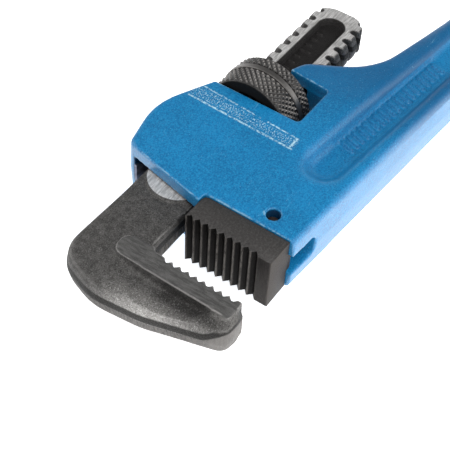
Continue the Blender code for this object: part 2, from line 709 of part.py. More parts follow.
def build_hook_jaw(finish):
    axis = (HOOK_TEETH_X, SHANK_AXIS, 0)
    half = HOOK_BODY_THICKNESS / 2
    bm = pillow(hook_outline(), half, HOOK_DRAFT)
    taper(bm, [(HOOK_TEETH_X - 5 * MM, 1.0), (HOOK_TEETH_X + 17 * MM, NECK_THICKNESS / HOOK_BODY_THICKNESS)])
    jaw = make_object("hook_jaw", bm, finish, origin=axis)

    pad_half = PAD_THICKNESS / 2
    for side in (1, -1):
        combine(jaw, make_object(f"web_hollow_{side}", web_hollow(side)), "DIFFERENCE")
    combine(jaw, make_object("pad_blank", prism(pad_outline(), -pad_half, pad_half)), "UNION")
    combine(jaw, make_object("nose_blank", nose_blank()), "UNION")

    end = HOOK_TEETH_X + SHANK_LENGTH
    start = thread_origin()
    rod = make_object(
        "shank_screw",
        screw(start, end, THREAD_RADIUS, THREAD_RADIUS - THREAD_DEPTH, THREAD_GROOVE, THREAD_GROOVE_FLOOR),
    )
    shank_half = SHANK_THICKNESS / 2
    neck = NECK_WIDTH / 2 - 0.2 * MM
    wide = THREAD_RADIUS + 1 * MM
    flat_start = HOOK_TEETH_X + NECK_FLAT_START
    flat_end = start + 1.5 * MM
    flat = block(
        (flat_start - 1 * MM, SHANK_AXIS - neck, -shank_half - 1 * MM),
        (flat_end, SHANK_AXIS + neck, shank_half + 1 * MM),
    )
    combine(rod, make_object("ground_flat_blank", flat), "UNION")
    below = [
        (flat_start, -neck - 0.1 * MM, neck),
        (flat_end, -neck - 0.1 * MM, 0.0),
        (flat_end + 1 * MM, -wide, 0.0),
        (end - 1.25 * SHANK_END_ROUND, -wide, 0.0),
        (end, -SHANK_END_ROUND - 0.5 * MM, SHANK_END_ROUND),
    ]
    trim = [(x, SHANK_AXIS + y, r) for x, y, r in below]
    trim += [(x, SHANK_AXIS - y, r) for x, y, r in reversed(below)]
    combine(rod, make_object("shank_trim", prism(filleted(trim), -shank_half, shank_half)), "INTERSECT")
    combine(jaw, rod, "UNION")

    pocket_end = end - POCKET_END_WALL
    for side in (1, -1):
        slot = obround((pocket_end - POCKET_LENGTH, SHANK_AXIS), (pocket_end, SHANK_AXIS), POCKET_WIDTH / 2)
        floor = obround(
            (pocket_end - POCKET_LENGTH + 1.2 * MM, SHANK_AXIS),
            (pocket_end - 1.2 * MM, SHANK_AXIS),
            POCKET_WIDTH / 2 - 1.2 * MM,
        )
        low, high = shank_half - POCKET_DEPTH, shank_half + 0.5 * MM
        if side > 0:
            cutter = loft(floor, low, slot, high)
        else:
            cutter = loft(slot, -high, floor, -low)
        combine(jaw, make_object(f"size_pocket_cutter_{side}", cutter), "DIFFERENCE")
    return jaw


# ---------------------------------------------------------------- adjusting nut


def build_nut(finish):
    front, back = NUT_FRONT, NUT_FRONT + NUT_WIDTH
    band = NUT_RADIUS - NUT_BAND_DROP
    ring_low = front + NUT_RING_AT - NUT_RING_WIDTH / 2
    ring_high = ring_low + NUT_RING_WIDTH
    root = NUT_RADIUS - 0.8 * MM
    profile = [
        (front, band - NUT_CHAMFER),
        (front + NUT_CHAMFER, band),
        (ring_low - NUT_GROOVE, band),
        (ring_low, root),
        (ring_low, NUT_RADIUS),
        (ring_high, NUT_RADIUS),
        (ring_high, root),
        (ring_high + NUT_GROOVE, band),
        (back - NUT_CHAMFER, band),
        (back, band - NUT_CHAMFER),
    ]
    centre = ((front + back) / 2, SHANK_AXIS, 0)
    nut = make_object("adjusting_nut", turned(profile, centre, NUT_SIDES), finish, origin=centre)
    bore = screw(
        front,
        back,
        THREAD_RADIUS + THREAD_CLEARANCE,
        THREAD_RADIUS - THREAD_DEPTH + THREAD_CLEARANCE,
        THREAD_GROOVE - 2 * THREAD_CLEARANCE,
        THREAD_GROOVE_FLOOR - 2 * THREAD_CLEARANCE,
    )
    combine(nut, make_object("nut_screw_cutter", bore), "DIFFERENCE")
    return nut


# ---------------------------------------------------------------- spring set


def build_springs(leaf_finish, coil_finish, rivet_finish):
    """A bowed leaf that rides on the shank's thread, a coil behind it in the roof's pocket, and their rivet."""
    crown = SHANK_AXIS + THREAD_RADIUS + FIT_GAP
    rise = PASSAGE_ROOF - FIT_GAP - LEAF_THICKNESS - crown
    reach = LEAF_LENGTH / 2
    stations = 12
    lower, upper = [], []
    for k in range(stations + 1):
        along = -1 + 2 * k / stations
        lift = rise * along * along
        lower.append((SPRING_AT + reach * along, crown + lift))
        upper.append((SPRING_AT + reach * along, crown + lift + LEAF_THICKNESS))
    leaf = make_object(
        "flat_spring",
        prism(lower + upper[::-1], -LEAF_WIDTH / 2, LEAF_WIDTH / 2),
        leaf_finish,
        origin=(SPRING_AT, crown, 0),
    )
    hole = cylinder(RIVET_RADIUS + FIT_GAP, crown - 2 * MM, crown + 4 * MM, "Y", (SPRING_AT, 0, 0), sides=16)
    combine(leaf, make_object("leaf_hole_cutter", hole), "DIFFERENCE")

    seat = crown + LEAF_THICKNESS + FIT_GAP
    rivet = cylinder(RIVET_RADIUS, crown + 0.1 * MM, seat + 0.2 * MM, "Y", (SPRING_AT, 0, 0), sides=16)
    rivet = make_object("spring_rivet", rivet, rivet_finish, origin=(SPRING_AT, seat, 0))
    head = cylinder(RIVET_HEAD_RADIUS, seat, seat + RIVET_HEAD, "Y", (SPRING_AT, 0, 0), sides=16)
    combine(rivet, make_object("rivet_head_blank", head), "UNION")

    low = seat + COIL_WIRE / 2
    high = PASSAGE_ROOF + COIL_POCKET_DEPTH - FIT_GAP - COIL_WIRE / 2
    curve = bpy.data.curves.new("coil_spring", "CURVE")
    curve.dimensions = "3D"
    curve.bevel_depth = COIL_WIRE / 2
    curve.bevel_resolution = 1
    curve.use_fill_caps = True
    per_turn = 14
    count = COIL_TURNS * per_turn
    spline = curve.splines.new("POLY")
    spline.points.add(count)
    for k in range(count + 1):
        angle = 2 * math.pi * k / per_turn
        share = min(1.0, max(0.0, (k - per_turn * 0.6) / (count - per_turn * 1.2)))
        x, z = COIL_RADIUS * math.cos(angle), COIL_RADIUS * math.sin(angle)
        spline.points[k].co = (x, (high - low) * share + k * 0.001 * MM, z, 1.0)
    coil = bpy.data.objects.new("coil_spring", curve)
    bpy.context.scene.collection.objects.link(coil)
    coil.location = (SPRING_AT, low, 0)
    curve.materials.append(coil_finish)
    return [leaf, rivet, coil]


# ---------------------------------------------------------------- assembly


def stand_on_origin(datum, pieces):
    """Moves the datum so that the pieces stand on z = 0 and their box is centred on the origin."""
    bpy.context.view_layer.update()
    graph = bpy.context.evaluated_depsgraph_get()
    low, high = Vector((1e9,) * 3), Vector((-1e9,) * 3)
    for piece in pieces:
        evaluated = piece.evaluated_get(graph)
        for vert in evaluated.to_mesh().vertices:
            place = evaluated.matrix_world @ vert.co
            low = Vector(map(min, low, place))
            high = Vector(map(max, high, place))
        evaluated.to_mesh_clear()
    datum.location = (-(low.x + high.x) / 2, -(low.y + high.y) / 2, -low.z)


def main():
    clear_scene()
    paint = material("blue_paint", (0.02, 0.22, 0.50), 0.42, 0.0)
    forged = material("forged_steel", (0.065, 0.062, 0.060), 0.55, 0.7)
    hardened = material("hardened_steel", (0.075, 0.068, 0.064), 0.5, 0.7)
    blackened = material("blackened_steel", (0.05, 0.048, 0.047), 0.4, 0.8)
    bright = material("bright_steel", (0.45, 0.44, 0.42), 0.35, 1.0)
    spring = material("spring_steel", (0.20, 0.21, 0.24), 0.3, 1.0)

    pieces = [
        build_handle(paint),
        build_heel_jaw(hardened),
        build_pin(bright),
        build_hook_jaw(forged),
        build_nut(blackened),
        *build_springs(spring, spring, bright),
    ]
    datum = bpy.data.objects.new("datum", None)
    bpy.context.scene.collection.objects.link(datum)
    for piece in pieces:
        piece.parent = datum
    stand_on_origin(datum, pieces)


main()
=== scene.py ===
import math

import bpy
import numpy as np
from mathutils import Euler, Matrix, Vector


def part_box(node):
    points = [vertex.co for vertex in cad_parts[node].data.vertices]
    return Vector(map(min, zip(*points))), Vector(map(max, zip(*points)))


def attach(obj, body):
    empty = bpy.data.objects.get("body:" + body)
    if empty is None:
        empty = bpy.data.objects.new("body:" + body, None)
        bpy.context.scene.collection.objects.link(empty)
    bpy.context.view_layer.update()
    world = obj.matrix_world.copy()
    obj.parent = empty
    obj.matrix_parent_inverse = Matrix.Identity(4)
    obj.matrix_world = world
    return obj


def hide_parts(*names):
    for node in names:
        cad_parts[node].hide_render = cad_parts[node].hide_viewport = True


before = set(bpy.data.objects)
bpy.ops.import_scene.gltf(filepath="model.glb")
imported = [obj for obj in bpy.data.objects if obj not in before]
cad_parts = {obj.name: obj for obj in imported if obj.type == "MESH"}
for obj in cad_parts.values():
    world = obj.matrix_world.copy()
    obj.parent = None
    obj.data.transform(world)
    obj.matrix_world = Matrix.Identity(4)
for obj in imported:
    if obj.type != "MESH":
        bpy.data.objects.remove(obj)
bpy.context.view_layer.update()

# ------------------------------------------------------------------ handle
# The handle and housing are one iron casting with a hollow for the hook jaw's shank, a window for the
# adjusting nut and a long dished recess in each face of the grip. It is fettled along its edges, the seat
# and the window are machined, and the whole casting is dipped in blue enamel before the jaws go in.

MM = 0.001
heel_low, heel_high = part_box("heel_jaw")
datum = Vector((heel_low.x, heel_low.y, (heel_low.z + heel_high.z) / 2))  # tooth-tip corner, mid-thickness


def select_only(piece):
    bpy.ops.object.select_all(action="DESELECT")
    piece.select_set(True)
    bpy.context.view_layer.objects.active = piece


def copy_of(node, name):
    """A merged copy of a CAD node, selected alone, to be worked up into a finished piece."""
    piece = bpy.data.objects.new(name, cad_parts[node].data.copy())
    bpy.context.scene.collection.objects.link(piece)
    piece.data.materials.clear()
    select_only(piece)
    bpy.ops.mesh.customdata_custom_splitnormals_clear()
    bpy.ops.object.mode_set(mode="EDIT")
    bpy.ops.mesh.select_all(action="SELECT")
    bpy.ops.mesh.remove_doubles(threshold=2e-6)
    bpy.ops.object.mode_set(mode="OBJECT")
    return piece


def modify(piece, kind, **settings):
    """Adds one modifier to the piece and applies it."""
    select_only(piece)
    modifier = piece.modifiers.new(kind, kind)
    for key, value in settings.items():
        setattr(modifier, key, value)
    bpy.ops.object.modifier_apply(modifier=kind)


def points_of(piece):
    """The piece's points as an array in millimetres from the datum."""
    flat = np.empty(len(piece.data.vertices) * 3)
    piece.data.vertices.foreach_get("co", flat)
    return (flat.reshape(-1, 3) - np.array(datum)) / MM


def step_up(value, low, high):
    """0 below low, 1 above high, and smooth between them."""
    share = np.clip((value - low) / (high - low), 0.0, 1.0)
    return share * share * (3 - 2 * share)


def between(value, low, high, soft):
    """1 from low to high, falling to 0 over a soft border outside them."""
    return step_up(value, low - soft, low) * (1 - step_up(value, high, high + soft))


def soften(piece, weights, rounds):
    """Smooths the piece, most where the weight is 1 and not at all where it is 0."""
    group = piece.vertex_groups.new(name="soft")
    sixteenths = np.rint(weights * 16).astype(int)
    for k in range(1, 17):
        group.add(np.flatnonzero(sixteenths == k).tolist(), k / 16, "REPLACE")
    modify(piece, "SMOOTH", factor=0.5, iterations=rounds, vertex_group="soft")
    piece.vertex_groups.remove(piece.vertex_groups["soft"])


def mark_proud(piece, rounds=6, name="proud"):
    """Stores how far each point stands out of the surface round it, in millimetres. Edges wear there."""
    mesh = piece.data
    count = len(mesh.vertices)
    ends = np.empty(len(mesh.edges) * 2, int)
    mesh.edges.foreach_get("vertices", ends)
    a, b = ends.reshape(-1, 2).T
    normals = np.empty(count * 3)
    mesh.vertices.foreach_get("normal", normals)
    valence = np.bincount(ends, minlength=count)
    place = points_of(piece)
    mean = place.copy()
    for _ in range(rounds):
        sums = [np.bincount(a, mean[b, k], count) + np.bincount(b, mean[a, k], count) for k in range(3)]
        mean = np.stack(sums, 1) / valence[:, None]
    proud = ((place - mean) * normals.reshape(-1, 3)).sum(1)
    layer = mesh.attributes.new(name, "FLOAT", "POINT")
    layer.data.foreach_set("value", proud.astype(np.float32))


def thin_to(piece, triangles):
    """Brings the piece down to a number of triangles."""
    now = sum(len(face.vertices) - 2 for face in piece.data.polygons)
    if now > triangles:
        modify(piece, "DECIMATE", ratio=triangles / now)


def bar(name, size, place, turn=(0, 0, 0), round_by=0.25):
    """A small bar with rounded edges. Size and place are in millimetres, and turn is in degrees."""
    bpy.ops.object.select_all(action="DESELECT")
    bpy.ops.mesh.primitive_cube_add(size=1.0, location=datum + Vector(place) * MM)
    made = bpy.context.object
    made.name = name
    made.scale = Vector(size) * MM
    made.rotation_euler = Euler([math.radians(t) for t in turn])
    bpy.ops.object.transform_apply(location=True, rotation=True, scale=True)
    modify(made, "BEVEL", width=round_by * MM, segments=2)
    return made


def join_to(piece, others):
    """Makes the others part of the piece's mesh."""
    bpy.ops.object.select_all(action="DESELECT")
    for other in others:
        other.select_set(True)
    piece.select_set(True)
    bpy.context.view_layer.objects.active = piece
    bpy.ops.object.join()


handle = copy_of("handle", "cast_handle")
handle_voxel = 0.56  # millimetres, fine enough for the ribs' edges
handle_triangles = 190000
rib_size = (1.5, 6.8, 2.6)
rib_count = 19
rib_pitch = 3.5
rib_from, rib_row = 70.2, 9.9  # the first rib's place
rib_height = 7.25  # of a rib's middle, so that it stands out of the recess's floor
rib_slope = -6.2  # of the row, in degrees, as the recess slopes
rib_lean = 10  # of each rib in the row
ribs = []
for side in (1, -1):
    for k in range(rib_count):
        along = rib_from + rib_pitch * k
        across = rib_row + math.tan(math.radians(rib_slope)) * (along - rib_from)
        ribs.append(bar("rib", rib_size, (along, across, side * rib_height), (0, 0, rib_slope - rib_lean)))
join_to(handle, ribs)
modify(handle, "REMESH", mode="VOXEL", voxel_size=handle_voxel * MM)

# The casting's edges are rounded a little everywhere, more along the grip, and most in the recess.
px, py, pz = points_of(handle).T
across_recess = py + 0.1 * (px - 42.3)
grip_part = step_up(px, 92, 104)
recess = between(px, 39, 330, 3) * between(across_recess, -3, 25, 1.5)
ribbed = between(px, 68, 136, 1) * (np.abs(pz) < 9.2) * recess
soften(handle, np.ones(len(px)), 4)
soften(handle, np.clip(np.maximum(grip_part, recess) * (1 - ribbed), 0, 1), 30)
soften(handle, recess * (1 - ribbed), 90)
thin_to(handle, handle_triangles)
mark_proud(handle, 3)
select_only(handle)
bpy.ops.object.shade_smooth()


class Varying:
    """A shader value that varies over a surface. Arithmetic on it adds Math nodes."""

    def __init__(self, finish, socket):
        self.finish = finish
        self.socket = socket

    def math(self, operation, *values):
        return self.finish.add("Math", {"operation": operation}, dict(enumerate(values)))

    def __add__(self, other):
        return self.math("ADD", self, other)

    def __sub__(self, other):
        return self.math("SUBTRACT", self, other)

    def __mul__(self, other):
        return self.math("MULTIPLY", self, other)

    def __rsub__(self, other):
        return self.math("SUBTRACT", other, self)

    __radd__ = __add__
    __rmul__ = __mul__

    def __abs__(self):
        return self.math("ABSOLUTE", self)

    def power(self, exponent):
        return self.math("POWER", self, exponent)

    def most(self, other):
        return self.math("MAXIMUM", self, other)

    def length_with(self, other):
        """How far a point is from the line where both values are 0."""
        return (self.power(2.0) + other.power(2.0)).power(0.5)

    def rise(self, low, high):
        """0 below low and 1 above high, smooth between them."""
        return self.finish.add(
            "MapRange",
            {"interpolation_type": "SMOOTHSTEP"},
            {"Value": self, "From Min": low, "From Max": high, "To Min": 0.0, "To Max": 1.0},
        )

    def fall(self, low, high):
        """1 below low and 0 above high."""
        return 1 - self.rise(low, high)

    def inside(self, low, high, soft):
        """1 from low to high, falling to 0 over a soft border outside them."""
        return self.rise(low - soft, low) * self.fall(high, high + soft)


class Finish:
    """A procedural material. Its place is in millimetres from the datum, and x, y and z are its parts."""

    def __init__(self, name, **uniform):
        self.material = bpy.data.materials.new(name)
        self.material.use_nodes = True
        self.tree = self.material.node_tree
        self.shader = self.tree.nodes["Principled BSDF"]
        for key, value in uniform.items():
            self.shader.inputs[key.replace("_", " ")].default_value = value
        raw = self.add("TexCoord", output="Object")
        to_datum = {"Vector": raw, "Location": -datum / MM, "Scale": (1 / MM,) * 3}
        self.place = self.add("Mapping", {}, to_datum)
        self.x, self.y, self.z = (self.add("SeparateXYZ", {}, {"Vector": self.place}, n) for n in "XYZ")

    def add(self, kind, settings=None, sockets=None, output=0):
        """Adds a node: its type, its settings, then the values or links of its sockets."""
        node = self.tree.nodes.new("ShaderNode" + kind)
        for key, value in (settings or {}).items():
            setattr(node, key, value)
        for key, value in (sockets or {}).items():
            if isinstance(value, Varying):
                self.tree.links.new(value.socket, node.inputs[key])
            else:
                node.inputs[key].default_value = value
        return Varying(self, node.outputs[output])

    def noise(self, scale, stretch=(1, 1, 1), turn=(0, 0, 0), detail=3.0, roughness=0.55):
        """Noise from 0 to 1. Scale is in cells to a millimetre, and turn is in degrees."""
        turned = [math.radians(t) for t in turn]
        at = self.add("Mapping", {}, {"Vector": self.place, "Rotation": turned, "Scale": stretch})
        sockets = {"Vector": at, "Scale": scale, "Detail": detail, "Roughness": roughness}
        return self.add("TexNoise", {}, sockets)

    def scratches(self, turn, scale, width):
        """Fine straight lines, broken up so that each runs only part of the way."""
        drawn_out = self.noise(scale, (0.035, 1, 0.035), (0, 0, turn), 0.0)
        lines = abs(drawn_out - 0.5).fall(width * 0.3, width)
        return lines * self.noise(0.05, turn=(0, 0, turn), detail=1.0).rise(0.5, 0.62)

    def mix(self, share, first, second):
        """A colour between two others. The node's sockets 6, 7 and output 2 are the ones for colours."""
        sockets = {0: share}
        for key, colour in ((6, first), (7, second)):
            sockets[key] = colour if isinstance(colour, Varying) else (*colour, 1.0)
        return self.add("Mix", {"data_type": "RGBA"}, sockets, 2)

    def attribute(self, name):
        return self.add("Attribute", {"attribute_name": name}, {}, "Fac")

    def side(self):
        """1 where the surface faces up or down, and 0 where it is upright."""
        facing = self.add("TexCoord", output="Normal")
        return abs(self.add("SeparateXYZ", {}, {"Vector": facing}, "Z"))

    def feed(self, name, value):
        self.tree.links.new(value.socket, self.shader.inputs[name])

    def bump(self, height, depth):
        """Feeds the height to the shader's normal. Depth is in millimetres."""
        made = self.add("Bump", {}, {"Strength": 1.0, "Distance": depth * MM, "Height": height})
        self.feed("Normal", made)

    def put_on(self, piece):
        piece.data.materials.clear()
        piece.data.materials.append(self.material)


def finish_piece(piece, body, slot, *nodes):
    """Says which body the piece moves with and hides the CAD nodes it stands for. Its slot is not used."""
    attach(piece, body)
    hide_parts(*nodes)


enamel = Finish("blue_enamel", Coat_Roughness=0.25, Specular_IOR_Level=0.3)
x, y, z = enamel.x, enamel.y, enamel.z
broad = enamel.noise(0.06, detail=2.0)
fine = enamel.noise(1.6, detail=4.0, roughness=0.7)
blue = enamel.mix(broad.rise(0.3, 0.7), (0.002, 0.146, 0.350), (0.003, 0.178, 0.415))
blue = enamel.mix(fine.rise(0.42, 0.70) * 0.75, blue, (0.016, 0.285, 0.56))
blue = enamel.mix(fine.fall(0.30, 0.48) * 0.75, blue, (0.001, 0.075, 0.21))
# Painted shade: outside its recess the grip is darker, for the light falling off along the handle.
grip_shade = x.rise(62.0, 110.0) * (1 - abs(z).fall(8.5, 9.5))
blue = enamel.mix(grip_shade * 0.7, blue, (0.001, 0.070, 0.19))

# Inside the passage, the nut's window and the pin hole the blue is darkened: painted shade in these
# hollows.
passage_floor, passage_roof = 39.3, 72.9
roof_slopes_from, roof_slope = 52.0, 0.33
pin_x, pin_y = 19.2, 11.6
under_roof = y + (x - roof_slopes_from).most(0.0) * roof_slope
hollow_shade = abs(z).fall(7.3, 7.8) * under_roof.inside(passage_floor, passage_roof, 0.4) * x.fall(86.0, 90.0)
from_pin = (x - pin_x).length_with(y - pin_y)
hollow_shade = hollow_shade.most(from_pin.fall(2.7, 3.0) * abs(z).fall(12.2, 13.0))
blue = enamel.mix(hollow_shade * 0.85, blue, (0.002, 0.025, 0.075))

# A pale scuff runs across the upper cheek beside the window: two ragged sides, a foot, and dashes between.
scuff_low, scuff_high = 24.5, 73.0
scuff_x, scuff_lean = 50.05, 0.0236
scuff_width, scuff_flare = 5.2, 0.034
specks = enamel.noise(2.1, detail=1.0).rise(0.71, 0.76)
lines = enamel.scratches(62, 0.6, 0.0025).most(enamel.scratches(-18, 0.7, 0.002))
lines = lines.most(enamel.scratches(28, 0.5, 0.002))
across = x - y * scuff_lean - scuff_x
length = y.inside(scuff_low, scuff_high, 1.2)
ragged = enamel.noise(1.3, detail=3.0, roughness=0.7)
left = abs(across).fall(0.15, 0.75) * ragged.rise(0.42, 0.54)
width = y * scuff_flare + scuff_width
gap = y.inside(40.0, 42.5, 0.8)
right = abs(across - width).fall(0.1, 0.6) * ragged.rise(0.46, 0.56) * (1 - gap)
dashes = enamel.noise(1.5, (0.8, 1.4, 1), detail=2.0).rise(0.53, 0.60)
filled = dashes * across.rise(0.8, 1.4) * (width - across).rise(0.8, 1.4)
foot = abs(y - (scuff_low + 0.7)).fall(0.2, 0.7) * across.inside(0.0, 6.0, 0.4) * ragged.rise(0.42, 0.52)
scuff = (left.most(right).most(filled * 0.75) * length).most(foot) * z.rise(12.9, 13.2)

patchy = enamel.noise(0.5, detail=3.0).rise(0.40, 0.62)
worn = enamel.attribute("proud").rise(0.11, 0.19) * patchy * abs(z).rise(12.3, 12.9)
blue = enamel.mix((lines * 0.3).most(specks * 0.5), blue, (0.22, 0.52, 0.75))
blue = enamel.mix(scuff * 0.85, blue, (0.48, 0.74, 0.86))
blue = enamel.mix(worn * 0.7, blue, (0.26, 0.48, 0.62))
enamel.feed("Base Color", blue)
enamel.feed("Roughness", fine * 0.22 + 0.34 + scuff * 0.25)
enamel.feed("Coat Weight", enamel.side().fall(0.3, 0.8) * 0.6 + 0.2)
enamel.bump(fine * 0.5 + enamel.noise(0.5, detail=2.0) + scuff * 0.5, 0.16)
enamel.put_on(handle)
finish_piece(handle, "handle_body", "blue_paint", "handle")

# ------------------------------------------------------------------ heel jaw
# The heel jaw is a block of tool steel, broached with cross teeth and hardened. Its tongue stands in a slot
# of the housing and a cross pin through both holds it; the block's faces are surface-ground.

heel = copy_of("heel_jaw", "heel_jaw_block")
bpy.ops.object.mode_set(mode="EDIT")
bpy.ops.mesh.select_all(action="SELECT")
bpy.ops.mesh.dissolve_limited(angle_limit=math.radians(2))
bpy.ops.object.mode_set(mode="OBJECT")
modify(heel, "BEVEL", width=0.28 * MM, segments=2, limit_method="ANGLE", angle_limit=math.radians(35))
select_only(heel)
bpy.ops.object.shade_smooth_by_angle(angle=math.radians(30))

grey_tint = (0.5, 0.5, 0.5, 1)  # dulls the shine of scaled and hardened steel
tool_steel = Finish("hardened_tool_steel", Metallic=0.75, Specular_IOR_Level=0.25, Specular_Tint=grey_tint)
x, y = tool_steel.x, tool_steel.y
teeth_end = 2.0  # just behind the roots of the teeth
grain = tool_steel.noise(2.2, (1, 1, 0.16), detail=4.0, roughness=0.7)
fleck = tool_steel.noise(1.2, detail=4.0, roughness=0.75)
colour = tool_steel.mix(grain.rise(0.3, 0.7), (0.042, 0.038, 0.036), (0.088, 0.080, 0.076))
colour = tool_steel.mix(fleck.rise(0.62, 0.8) * 0.6, colour, (0.17, 0.155, 0.145))
# The faces that look up or down are lighter: partly their ground finish, partly painted light.
upper = tool_steel.side().rise(0.7, 0.95)
ground_and_lit_colour = tool_steel.mix(fleck.rise(0.4, 0.7), (0.085, 0.083, 0.082), (0.15, 0.147, 0.145))
colour = tool_steel.mix(upper * 0.6, colour, ground_and_lit_colour)
# Painted shade: the front face at the tooth tips is darkened.
land_shade = x.fall(0.1, 0.5) * (1 - upper) * y.rise(0.3, 0.8)
colour = tool_steel.mix(land_shade * 0.6, colour, (0.022, 0.021, 0.021))
# Painted shade: the tooth grooves are made near black.
groove_shade = x.rise(0.15, 0.75) * x.fall(teeth_end, teeth_end + 0.1) * y.rise(5.5, 6.0) * (1 - upper)
colour = tool_steel.mix(groove_shade * 0.92, colour, (0.004, 0.004, 0.004))
mouth_end = y.fall(0.1, 0.5)
colour = tool_steel.mix(mouth_end * 0.75, colour, (0.085, 0.078, 0.073))
crest = x.fall(0.25, 0.55) * y.rise(5.0, 6.0) * grain.rise(0.35, 0.6)
colour = tool_steel.mix(crest * 0.7, colour, (0.15, 0.14, 0.13))
tool_steel.feed("Base Color", colour)
tool_steel.feed("Roughness", fleck * 0.3 + 0.34)
tool_steel.bump(grain + fleck * 0.6, 0.10)
tool_steel.put_on(heel)
finish_piece(heel, "handle_body", "hardened_steel", "heel_jaw")

# ------------------------------------------------------------------ heel jaw pin
# A plain steel pin driven through the housing and the heel jaw's tongue. Its ends sit below the paint and
# have rusted a little; only they show, at the bottom of the pin hole on each face.

pin_steel = Finish("rusted_pin_steel", Metallic=0.6)
rust = pin_steel.noise(0.9, detail=4.0, roughness=0.7)
# The pin's colours are kept dark: rust, and painted shade for the bottom of the pin hole.
colour = pin_steel.mix(rust.rise(0.38, 0.62), (0.06, 0.045, 0.04), (0.045, 0.018, 0.012))
pin_steel.feed("Base Color", colour)
pin_steel.feed("Roughness", rust * 0.5 + 0.3)
pin_steel.bump(rust, 0.12)
pin_steel.put_on(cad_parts["heel_jaw_pin"])

# ------------------------------------------------------------------ hook jaw
# The hook jaw is drop-forged with its shank. The forging keeps its scale and its parting line; the toothed
# pad, the flats where the shank enters the housing and the flats of the threaded end are ground bright.

hook_tip = -17.0  # where the hook's tooth tips are at rest, along x
pad_back = hook_tip - 8.6
flat_from = hook_tip + 22.5
thread_from = hook_tip + 55
pocket_from = hook_tip + 76  # a shallow hollow in each face of the threaded end
shank_axis = 53.7  # the shank's and the nut's axis, along y
hook_voxel = 0.42
hook_triangles = 170000

# A scale of ticks stands up from the floor of each hollow, every fourth one long.
tick_count = 12
tick_pitch = 4.6
tick_from = hook_tip + 92.0
tick_ends = shank_axis + 4.0
tick_height = 4.1
hook = copy_of("hook_jaw", "forged_hook_jaw")
ticks = []
for side in (1, -1):
    for k in range(tick_count):
        tall = 5.2 if k % 4 == 0 else 3.0
        place = (tick_from + tick_pitch * k, tick_ends - tall / 2, side * tick_height)
        ticks.append(bar("tick", (0.9, tall, 1.3), place))
join_to(hook, ticks)
modify(hook, "REMESH", mode="VOXEL", voxel_size=hook_voxel * MM)

# The forging's edges are well rounded. Its thread, teeth and ground faces stay crisp.
px, py, pz = points_of(hook).T
threaded = step_up(px, thread_from, thread_from + 3)
toothed = between(px, hook_tip - 3.2, hook_tip + 2.2, 0.4) * (py < 39.5)
pad_face = between(px, pad_back, hook_tip + 0.4, 0.2) * (np.abs(pz) > 8.0) * (py > 3.0)
flats = between(px, flat_from, thread_from + 5, 1) * (np.abs(pz) > 5.3)
crisp = np.clip(threaded + toothed + pad_face + flats, 0, 1)
soften(hook, np.ones(len(px)), 3)
soften(hook, 1 - crisp, 30)
thin_to(hook, hook_triangles)
mark_proud(hook)
mark_proud(hook, 40, "crown")
select_only(hook)
bpy.ops.object.shade_smooth()

forged = Finish("forged_steel_scale", Specular_IOR_Level=0.25, Specular_Tint=grey_tint)
x, y, z = forged.x, forged.y, forged.z
up = forged.side()
upright = up.fall(0.25, 0.6)
head = x.fall(hook_tip + 10, hook_tip + 20)
scale_noise = forged.noise(0.35, detail=5.0, roughness=0.7)
fine = forged.noise(1.8, detail=4.0, roughness=0.75)

# Mill scale with bright and dark grains. The outer rim is made lighter and holds most of the bright specks
# and grains: a painted highlight. The nose is paler.
colour = forged.mix(scale_noise.rise(0.3, 0.7), (0.060, 0.058, 0.056), (0.125, 0.121, 0.117))
rim_highlight = x.fall(hook_tip - 23, hook_tip - 9) * y.fall(26, 50) * (y.rise(0, 24) * 0.6 + 0.4)
nose = y.fall(0, 9)
colour = forged.mix(rim_highlight * (scale_noise + 0.4), colour, (0.38, 0.37, 0.355))
colour = forged.mix(nose * (scale_noise * 0.5 + 0.4), colour, (0.165, 0.16, 0.153))
# Painted shade: the web just behind the pad is darkened.
behind_pad_shade = x.inside(pad_back - 2.9, pad_back + 0.1, 4.0) * y.inside(4.0, 24.0, 8.0)
colour = forged.mix(behind_pad_shade * abs(z).fall(7.5, 8.5) * 0.65, colour, (0.022, 0.021, 0.020))
sparkle = forged.noise(2.2, detail=1.0).rise(0.58, 0.70)
colour = forged.mix(sparkle * (rim_highlight * 0.75 + 0.10), colour, (0.80, 0.79, 0.78))
colour = forged.mix(fine.rise(0.54, 0.70) * (rim_highlight * 0.6 + 0.12), colour, (0.62, 0.61, 0.60))
colour = forged.mix(fine.fall(0.36, 0.48) * 0.7, colour, (0.014, 0.013, 0.012))

# The walls: streaked below the parting line, which climbs at the nose, with painted light making them paler
# towards the mouth side, and a painted shadow in a dark band just above the line.
streaks = forged.noise(1.6, (1, 1, 0.12), detail=3.0)
above_seam = z - y.fall(-2.0, 7.0) * 4.5
lower_wall = upright * above_seam.fall(-0.6, 0.0) * x.fall(hook_tip + 24, hook_tip + 30)
wall_colour = forged.mix(streaks.rise(0.35, 0.65), (0.034, 0.031, 0.029), (0.13, 0.122, 0.115))
# Painted light: the lower wall grows paler towards the mouth side.
wall_colour = forged.mix(y.fall(0.0, 14.0) * 0.6, wall_colour, (0.24, 0.23, 0.22))
colour = forged.mix(lower_wall * 0.85, colour, wall_colour)
# Painted shadow: the dark band just above the parting line.
colour = forged.mix(upright * above_seam.inside(0.3, 2.6, 0.8) * 0.9, colour, (0.008, 0.0075, 0.007))

